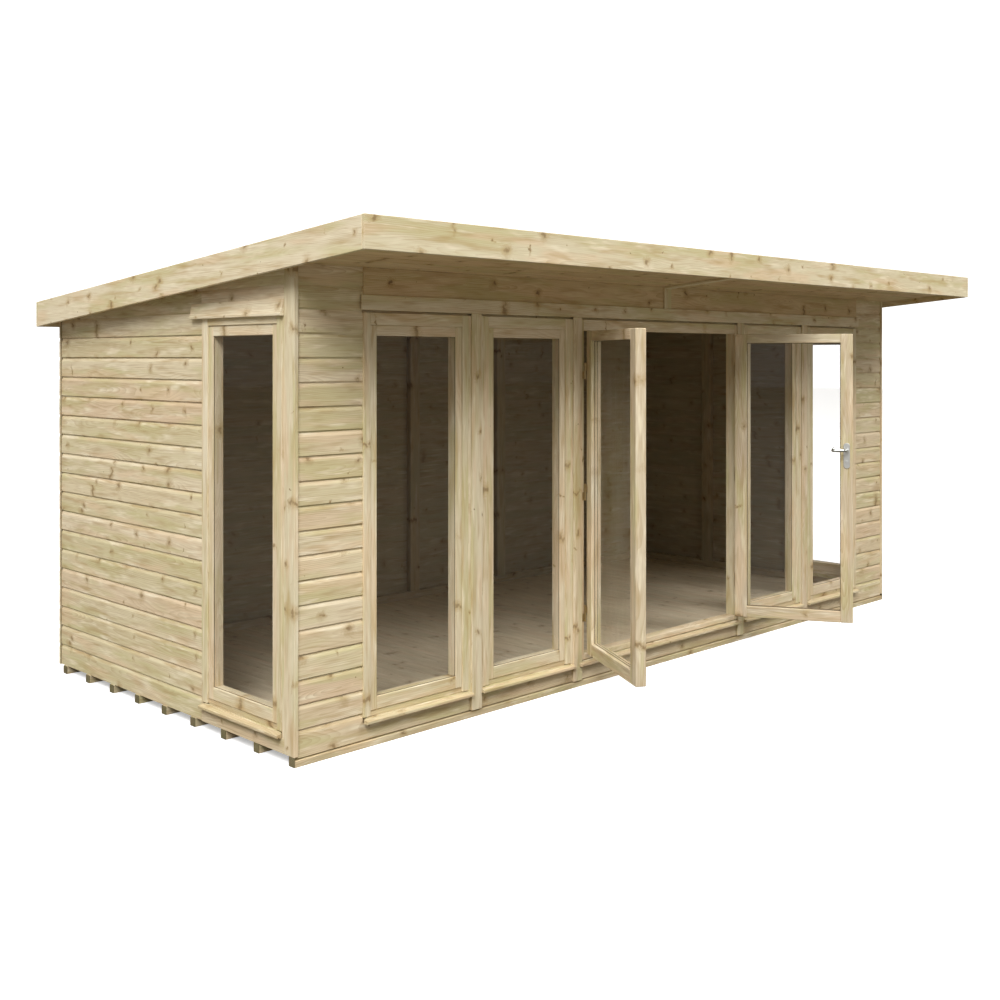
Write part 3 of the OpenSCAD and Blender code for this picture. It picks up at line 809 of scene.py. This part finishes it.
# %% [markdown]
# ## Window frames
# A fixed window is a frame of four members with a second, slightly sunk frame in it that holds the glass.
# Uprights run full height and rails fit between them, so each member keeps its own grain. The foot of the
# frame lies back, so that rain from the sash drops on the sill.
# All six windows are drawn at the front, and a matrix carries two of them to the ends, where packers close
# the gaps beside them.

# %% Window frames
FRAME_FACE, FRAME_HEAD, FRAME_FOOT = 0.042, 0.070, 0.024
SASH_FACE, SASH_HEAD, SASH_FOOT = 0.042, 0.051, 0.063
SASH_IN = 0.006
FOOT_IN = 0.011
FOOT_RAIL_AT = 3
WINDOW_DEEP = 0.066


def surround_of(x0, x1, y0, y1, z0, z1, face, head, foot, chamfer):
    return [
        plank([x0, y0, z0], [x0 + face, y1, z1], chamfer),
        plank([x1 - face, y0, z0], [x1, y1, z1], chamfer),
        plank([x0 + face, y0, z1 - head], [x1 - face, y1, z1], chamfer),
        plank([x0 + face, y0, z0], [x1 - face, y1, z0 + foot], chamfer),
    ]


def window_shapes(x0, x1, z0, z1, drop=0.0):
    back = FRONT + WINDOW_DEEP
    shapes = surround_of(x0, x1, FRONT, back, z0, z1 - drop, FRAME_FACE, FRAME_HEAD - drop, FRAME_FOOT, 0.002)
    x0, x1 = x0 + FRAME_FACE, x1 - FRAME_FACE
    shapes[FOOT_RAIL_AT] = plank([x0, FRONT + FOOT_IN, z0 - DIP], [x1, back, z0 + FRAME_FOOT])
    z0, z1 = z0 + FRAME_FOOT, z1 - FRAME_HEAD
    return shapes + surround_of(x0, x1, FRONT + SASH_IN, back, z0, z1, SASH_FACE, SASH_HEAD, SASH_FOOT, 0.003)


def window(name, shapes, node, place=None):
    piece = timber(name, shapes, pine_frames, place)
    # The foot rail takes the darker sill finish: painted shade under the sash
    piece.data.materials.append(pine_sills)
    first = sum(len(each["faces"]) for each in shapes[:FOOT_RAIL_AT])
    for polygon in piece.data.polygons[first : first + len(shapes[FOOT_RAIL_AT]["faces"])]:
        polygon.material_index = 1
    fit(piece, "pod", "pine_frames", node)


for i in range(1, 5):
    low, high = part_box(f"front_window_{i}")
    window(f"window_timber_{i}", window_shapes(low.x, high.x, low.z, high.z, DRIP), f"front_window_{i}")
low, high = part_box("left_window")
half = (high.y - low.y) / 2
WALL_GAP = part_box("left_wall")[0].y - high.y
TRIM_GAP = low.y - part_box("end_lintels")[0].y
PACKER = 0.020
MIRROR = Matrix.Scale(-1, 4, (1, 0, 0))
middle = (high.y + low.y) / 2
to_left = Matrix.Translation((LEFT_END, middle, 0)) @ Matrix.Rotation(math.radians(-90), 4, "Z")
to_left = to_left @ Matrix.Translation((0, -FRONT, 0))
ENDS_OF_POD = (("left", to_left), ("right", MIRROR @ to_left))
for side, place in ENDS_OF_POD:
    shapes = window_shapes(-half, half, low.z, high.z)
    for near, far in ((-half - WALL_GAP, -half), (half, half + TRIM_GAP)):
        shapes.append(plank([near, FRONT + 0.001, SILL_LOW], [far, FRONT + PACKER, high.z], 0.001))
    window(f"{side}_window_timber", shapes, f"{side}_window", place)

# %% [markdown]
# ## Doors
# Each door is two stiles and two rails around one tall pane. It is drawn shut and then swung open on its
# hinge by the same angle as in the frame, so the grain stays with the wood and not with the room.

# %% Doors
OPEN = math.radians(119.0)
HINGE = Vector((-0.7355, FRONT - 0.007, 0.0))
swing = Matrix.Translation(HINGE) @ Matrix.Rotation(-OPEN, 4, "Z") @ Matrix.Translation(-HINGE)
other_hand = MIRROR @ swing
# The left door shut: its lowest and highest x, y and z
LEAF = (-0.733, -0.004, FRONT, FRONT + 0.058, 0.180, 1.992)
STILE, TOP_RAIL, FOOT_RAIL = 0.075, 0.056, 0.070
LEAVES_OF_DOOR = (("left", swing), ("right", other_hand))
for side, place in LEAVES_OF_DOOR:
    shapes = surround_of(*LEAF, STILE, TOP_RAIL, FOOT_RAIL, 0.003)
    piece = timber(f"{side}_door_timber", shapes, pine_doors, place)
    fit(piece, f"{side}_door", "pine_frames", f"{side}_door")

# %% [markdown]
# ## Glass and its seals
# The panes are clear float glass in a sealed unit. They let light through and mirror more of the room the
# flatter they are seen, so a clear shader and a glossy one are mixed by how flat the pane lies to the eye:
# from 1.5 % head on to nine tenths edge on, with the fifth power that is usual for glass.
# The panes are bedded in brown tape, a thin dark line against the wood. On the windows it shows in front.
# Tape and roof sheet are rubber: dull, with a grain in the surface and clouds of pale dust on it.


# %% Glass
def clear_glass():
    material = bpy.data.materials.new("clear_float_glass")
    material.use_nodes = True
    tree = material.node_tree
    tree.nodes.clear()
    place = add(tree, "ShaderNodeTexCoord")
    haze = add(tree, "ShaderNodeTexNoise", {"Vector": place.outputs["Object"], "Scale": 3.0, "Detail": 2.0})
    ends = {"Value": haze, "From Min": 0.4, "From Max": 0.8, "To Min": 0.0, "To Max": 0.05}
    dull = add(tree, "ShaderNodeMapRange", ends)
    clear = add(tree, "ShaderNodeBsdfTransparent", {"Color": linear("#FEFEFE")})
    gloss = add(tree, "ShaderNodeBsdfGlossy", {"Color": (1, 1, 1, 1), "Roughness": dull})
    tilt = add(tree, "ShaderNodeLayerWeight", {"Blend": 0.5})
    curve = add(tree, "ShaderNodeMath", {0: tilt.outputs["Facing"], 1: 5.0}, operation="POWER")
    mirrored = add(tree, "ShaderNodeMapRange", {"Value": curve, "To Min": 0.015, "To Max": 0.9})
    both = add(tree, "ShaderNodeMixShader", {0: mirrored, 1: clear, 2: gloss})
    add(tree, "ShaderNodeOutputMaterial", {"Surface": both})
    return material


glass = clear_glass()
print("glass:", glass.name)

# %% Rubber
DUST_M = 0.625


def rubber(name, code, grit_mm, rough):
    material, tree, shader = new_finish(name)
    place = add(tree, "ShaderNodeTexCoord").outputs["Object"]
    dust = add(tree, "ShaderNodeTexNoise", {"Vector": place, "Scale": 1.0 / DUST_M, "Detail": 5.0})
    grit = add(tree, "ShaderNodeTexNoise", {"Vector": place, "Scale": 1000.0 / grit_mm, "Detail": 2.0})
    pale = [min(1.0, c * 1.8 + 0.02) for c in linear(code)[:3]] + [1.0]
    ends = {"Value": dust, "From Min": 0.45, "From Max": 0.75, "To Min": 0.0, "To Max": 0.6}
    film = add(tree, "ShaderNodeMapRange", ends)
    ends = {0: film, 6: linear(code), 7: pale}
    colour = add(tree, "ShaderNodeMix", ends, data_type="RGBA")
    bump = add(tree, "ShaderNodeBump", {"Height": grit, "Strength": 0.3, "Distance": 0.001})
    wire(tree, shader, {"Base Color": colour, "Roughness": rough, "Normal": bump})
    return material


tape_rubber = rubber("brown_glazing_tape", "#6F5F47", 2.0, 0.7)
roof_rubber = rubber("roof_sheet_rubber", "#34363A", 14.0, 0.75)
print("rubber:", tape_rubber.name, roof_rubber.name)

# %% Panes
panes = [f"front_glass_{i}" for i in range(1, 5)]
panes += ["left_glass", "right_glass", "left_door_glass", "right_door_glass"]
for name in panes:
    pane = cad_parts[name].data
    pane.materials.clear()
    pane.materials.append(glass)
print("panes:", len(panes))

# %% Seals
SEAL = 0.003


def seal_shapes(x0, x1, y0, y1, z0, z1, sides=2):
    shapes = []
    for near, far in ((y0 - SEAL, y0), (y1, y1 + SEAL))[:sides]:
        shapes += surround_of(x0, x1, near, far, z0, z1, SEAL, SEAL, SEAL, 0.0008)
    return shapes


def seal(name, shapes, body, place=None):
    piece = timber(name, shapes, tape_rubber, place)
    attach(piece, body)


GLASS_IN, GLASS_OUT = FRONT + 0.0142, FRONT + 0.0278
seals = []
for i in range(1, 5):
    low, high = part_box(f"front_window_{i}")
    inset = FRAME_FACE + SASH_FACE
    foot, head = low.z + FRAME_FOOT + SASH_FOOT, high.z - FRAME_HEAD - SASH_HEAD
    seals += seal_shapes(low.x + inset, high.x - inset, GLASS_IN, GLASS_OUT, foot, head, 1)
seal("front_window_seals", seals, "pod")
end_open = half - inset
seals = seal_shapes(-end_open, end_open, GLASS_IN, GLASS_OUT, foot, head, 1)
for side, place in ENDS_OF_POD:
    seal(f"{side}_window_seals", seals, "pod", place)
wide = (LEAF[0] + STILE, LEAF[1] - STILE)
deep = (LEAF[2] + 0.0222, LEAF[2] + 0.0358)
tall = (LEAF[4] + FOOT_RAIL, LEAF[5] - TOP_RAIL)
for side, place in LEAVES_OF_DOOR:
    seal(f"{side}_door_seals", seal_shapes(*wide, *deep, *tall), f"{side}_door", place)
print("seals on", len(panes), "panes")

# %% [markdown]
# ## Hinges and handle
# The hinges are brassed steel butts: a flap with two screws, and a barrel that turns on a pin. The handle is
# a stainless steel lever on a long plate with rounded ends, on both faces of the right door. Round parts are
# profiles turned about an axis, and the lever is an oval section swept along a bent path.
# Brushing leaves fine lines in steel, and they spread its shine. Real ones are about a tenth of a millimetre
# wide, and are drawn 1 mm wide here so that they show.


# %% Steel
# Brush lines in a metre, across and along the metal
BRUSH = (900.0, 900.0, 40.0)


def brushed(name, code, smooth, dull):
    material, tree, shader = new_finish(name)
    place = add(tree, "ShaderNodeTexCoord").outputs["Object"]
    lines = add(tree, "ShaderNodeVectorMath", {0: place, 1: BRUSH}, operation="MULTIPLY")
    brush = add(tree, "ShaderNodeTexNoise", {"Vector": lines, "Scale": 1.0, "Detail": 3.0})
    ends = {"Value": brush, "From Min": 0.3, "From Max": 0.7, "To Min": smooth, "To Max": dull}
    rough = add(tree, "ShaderNodeMapRange", ends)
    wire(tree, shader, {"Base Color": linear(code), "Roughness": rough, "Metallic": 1.0})
    return material


satin_steel = brushed("satin_stainless_steel", "#E6E7E4", 0.36, 0.52)
lever_steel = brushed("polished_stainless_steel", "#BFC2BD", 0.10, 0.20)
brassed_steel = brushed("brassed_steel", "#CDBB93", 0.24, 0.40)
print("steel:", satin_steel.name, lever_steel.name, brassed_steel.name)


# %% Turned and swept metal
def circle(count):
    turns = [2 * math.pi * i / count for i in range(count)]
    return [(math.cos(turn), math.sin(turn)) for turn in turns]


def turned(profile, place, axis=2, count=20):
    verts = []
    for radius, up in profile:
        for x, y in circle(count):
            co = [radius * x, radius * y, up]
            co[axis], co[2] = co[2], co[axis]
            verts.append([p + c for p, c in zip(place, co)])
    return lofted(verts, count)


def lofted(verts, count):
    rings = len(verts) // count
    faces = [list(range(count)), list(range((rings - 1) * count, rings * count))]
    for r in range(rings - 1):
        for i in range(count):
            j = (i + 1) % count
            faces.append([r * count + i, r * count + j, (r + 1) * count + j, (r + 1) * count + i])
    return shape([list(v) for v in verts], faces, 2)


def metal(name, shapes, finish, slot, body, place=None):
    piece = timber(name, shapes, finish, place)
    piece.data.shade_smooth()
    piece.data.set_sharp_from_angle(angle=math.radians(35))
    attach(piece, body)
    print(name, len(piece.data.polygons), "faces")
    return piece


# %% Hinges
HALF, BARREL, FLAP = 0.045, 0.006, 0.020
FEET = sorted(a[2] for a, b in solids("jamb_hinges") if a[0] < 0)


def hinge_half(foot, height, side):
    barrel = [(0.0, 0.0), (0.0052, 0.0), (BARREL, 0.0008)]
    barrel += [(BARREL, height - 0.0008), (0.0052, height), (0.0, height)]
    shapes = [turned(barrel, (HINGE.x, HINGE.y, foot))]
    near, far = sorted((HINGE.x, HINGE.x + side * FLAP))
    shapes.append(plank([near, FRONT - 0.002, foot], [far, FRONT, foot + height], 0.0005))
    neck = sorted((HINGE.x, HINGE.x + side * 0.004))
    shapes.append(plank([neck[0], HINGE.y, foot], [neck[1], FRONT, foot + height], 0.0005))
    head = [(0.0, 0.0), (0.0034, 0.0), (0.0030, -0.0008), (0.0, -0.0012)]
    for up in (0.25, 0.75):
        shapes.append(turned(head, (HINGE.x + side * 0.012, FRONT - 0.002, foot + height * up), 1, 12))
    return shapes


TIP = [(0.0, 0.0), (0.0045, 0.0), (0.0045, 0.001), (0.0030, 0.0030), (0.0, 0.0036)]
fixed, moving = [], []
for foot in FEET:
    fixed += hinge_half(foot, HALF, -1)
    moving += hinge_half(foot + HALF + 0.001, HALF - 0.001, 1)
    moving.append(turned(TIP, (HINGE.x, HINGE.y, foot + 2 * HALF)))
BRASSED = (brassed_steel, "brassed_steel")
pair = [metal("jamb_a", fixed, *BRASSED, "pod"), metal("jamb_b", fixed, *BRASSED, "pod", MIRROR)]
pair = join("jamb_hinge_halves", pair)
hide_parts("jamb_hinges")
for side, place in LEAVES_OF_DOOR:
    halves = metal(f"{side}_hinge_halves", moving, *BRASSED, f"{side}_door", place)
    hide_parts(f"{side}_door_hinges")
print("hinges:", 2 * len(FEET))

# %% Handle
SPINDLE = Vector((-0.0415, 0.0, 1.262))
FACES = ((LEAF[2], -1), (LEAF[3], 1))


def handle_plate(face, out):
    wide, low_end, high_end = 0.020, SPINDLE.z - 0.114, SPINDLE.z + 0.046
    count = 32
    verts = []
    for deep, inset in ((0.0, 0.0), (0.0045, 0.0), (0.0060, 0.0016)):
        r = wide - inset
        for x, y in circle(count):
            end = high_end - wide if y >= 0 else low_end + wide
            verts.append((SPINDLE.x + r * x, face + out * deep, end + r * y))
    return lofted(verts, count)


def handle_lever(face, out):
    # The path and the half widths of the oval are in millimetres
    path = [(0, 6.2), (0, 18), (0, 32), (-3, 41), (-10, 46.5), (-22, 48)]
    path += [(-46, 48), (-74, 47.5), (-86.5, 46.5), (-90.7, 45.8), (-92, 45.5)]
    wide = [8, 7.5, 7.5, 7.2, 6.6, 6, 5.4, 5.2, 4.6, 3.0, 0.8]
    tall = [8, 7.5, 7.5, 7.8, 8.4, 9, 8.8, 8.6, 7.8, 5.2, 1.4]
    points = [Vector((SPINDLE.x + x / 1000, face + out * y / 1000, SPINDLE.z)) for x, y in path]
    count = 20
    verts = []
    for i, point in enumerate(points):
        ahead = (points[min(i + 1, len(points) - 1)] - points[max(i - 1, 0)]).normalized()
        side = ahead.cross(Vector((0, 0, 1)))
        for x, y in circle(count):
            lift = Vector((0, 0, tall[i] / 1000 * y))
            verts.append(point + side * (wide[i] / 1000 * x) + lift)
    return lofted(verts, count)


def keyhole(face, out):
    rim = ((0.0, 0.006), (0.0085, 0.006), (0.0085, 0.0085), (0.0078, 0.009), (0.0, 0.009))
    return turned([(r, u * out) for r, u in rim], (SPINDLE.x, face, SPINDLE.z - 0.072), 1)


plates = [handle_plate(*f) for f in FACES] + [keyhole(*f) for f in FACES]
rose = [(0.0, 0.0), (0.0125, 0.0), (0.0125, 0.004), (0.0105, 0.006), (0.0, 0.006)]
for face, out in FACES:
    plates.append(turned([(r, out * (0.006 + u)) for r, u in rose], (SPINDLE.x, face, SPINDLE.z), 1, 28))
piece = metal("long_plates", plates, satin_steel, "satin_steel", "right_door", other_hand)
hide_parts("handle_plates")
levers = [handle_lever(*f) for f in FACES]
piece = metal("lever_pair", levers, lever_steel, "satin_steel", "lever", other_hand)
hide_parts("door_lever")
print("handle at", tuple(other_hand @ Vector((SPINDLE.x, LEAF[2], SPINDLE.z))))

# %% [markdown]
# ## Floor boards
# The floor is tongued boards that run from front to back, each with its edges eased, so a fine groove shows
# at every joint. One board and a row along the length of the pod.

# %% Floor boards
low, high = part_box("floor_deck")
DECK_BOARDS = 45
cover = (high.x - low.x) / DECK_BOARDS
board = plank([low.x, low.y, low.z], [low.x + cover, high.y, high.z], 0.0022)
deck = row_of_boards("floor_boards", board, DECK_BOARDS, (cover, 0, 0), 606, pine_floor)
fit(deck, "pod", "pine_floor", "floor_deck")

# %% [markdown]
# ## Roof
# The roof is two panels that meet under the battens. What shows of a panel is its underside: matched boards
# along the length with a groove at every joint. Over them lies the closed core of the panel, hidden by the
# fascia. The rubber sheet on top is the frame's own piece, with a dusty rubber finish.

# %% Roof panels
PANEL_T, SOFFIT_T = 0.088, 0.012
ROWS = 27
for side, seed in (("left", 707), ("right", 808)):
    low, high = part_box(f"roof_panel_{side}")
    step = (high.y - low.y) / ROWS
    foot = high.z - PANEL_T
    board = plank([low.x, low.y, foot - FALL * step], [high.x, low.y + step, foot + SOFFIT_T], 0.003, "both")
    row = row_of_boards(f"soffit_{side}", board, ROWS, (0, step, -FALL * step), seed, pine_soffit)
    core = plank([low.x, low.y, low.z + SOFFIT_T], [high.x, high.y, high.z], 0.001, "both")
    panel = join(f"soffit_boards_{side}", [row, timber(f"core_{side}", [core], pine_framing)])
    fit(panel, "pod", "pine_soffit", f"roof_panel_{side}")
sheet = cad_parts["roof_covering"].data
sheet.materials.clear()
sheet.materials.append(roof_rubber)
print("roof rows:", ROWS)

# %% [markdown]
# ## Size
# The dressed pod must be the size of the frame, so both boxes are written down side by side.

# %% Finish
seen_low, seen_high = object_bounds()
boxes = {"cad": [list(cad_low), list(cad_high)], "visual": [list(seen_low), list(seen_high)]}
print("size:", boxes)
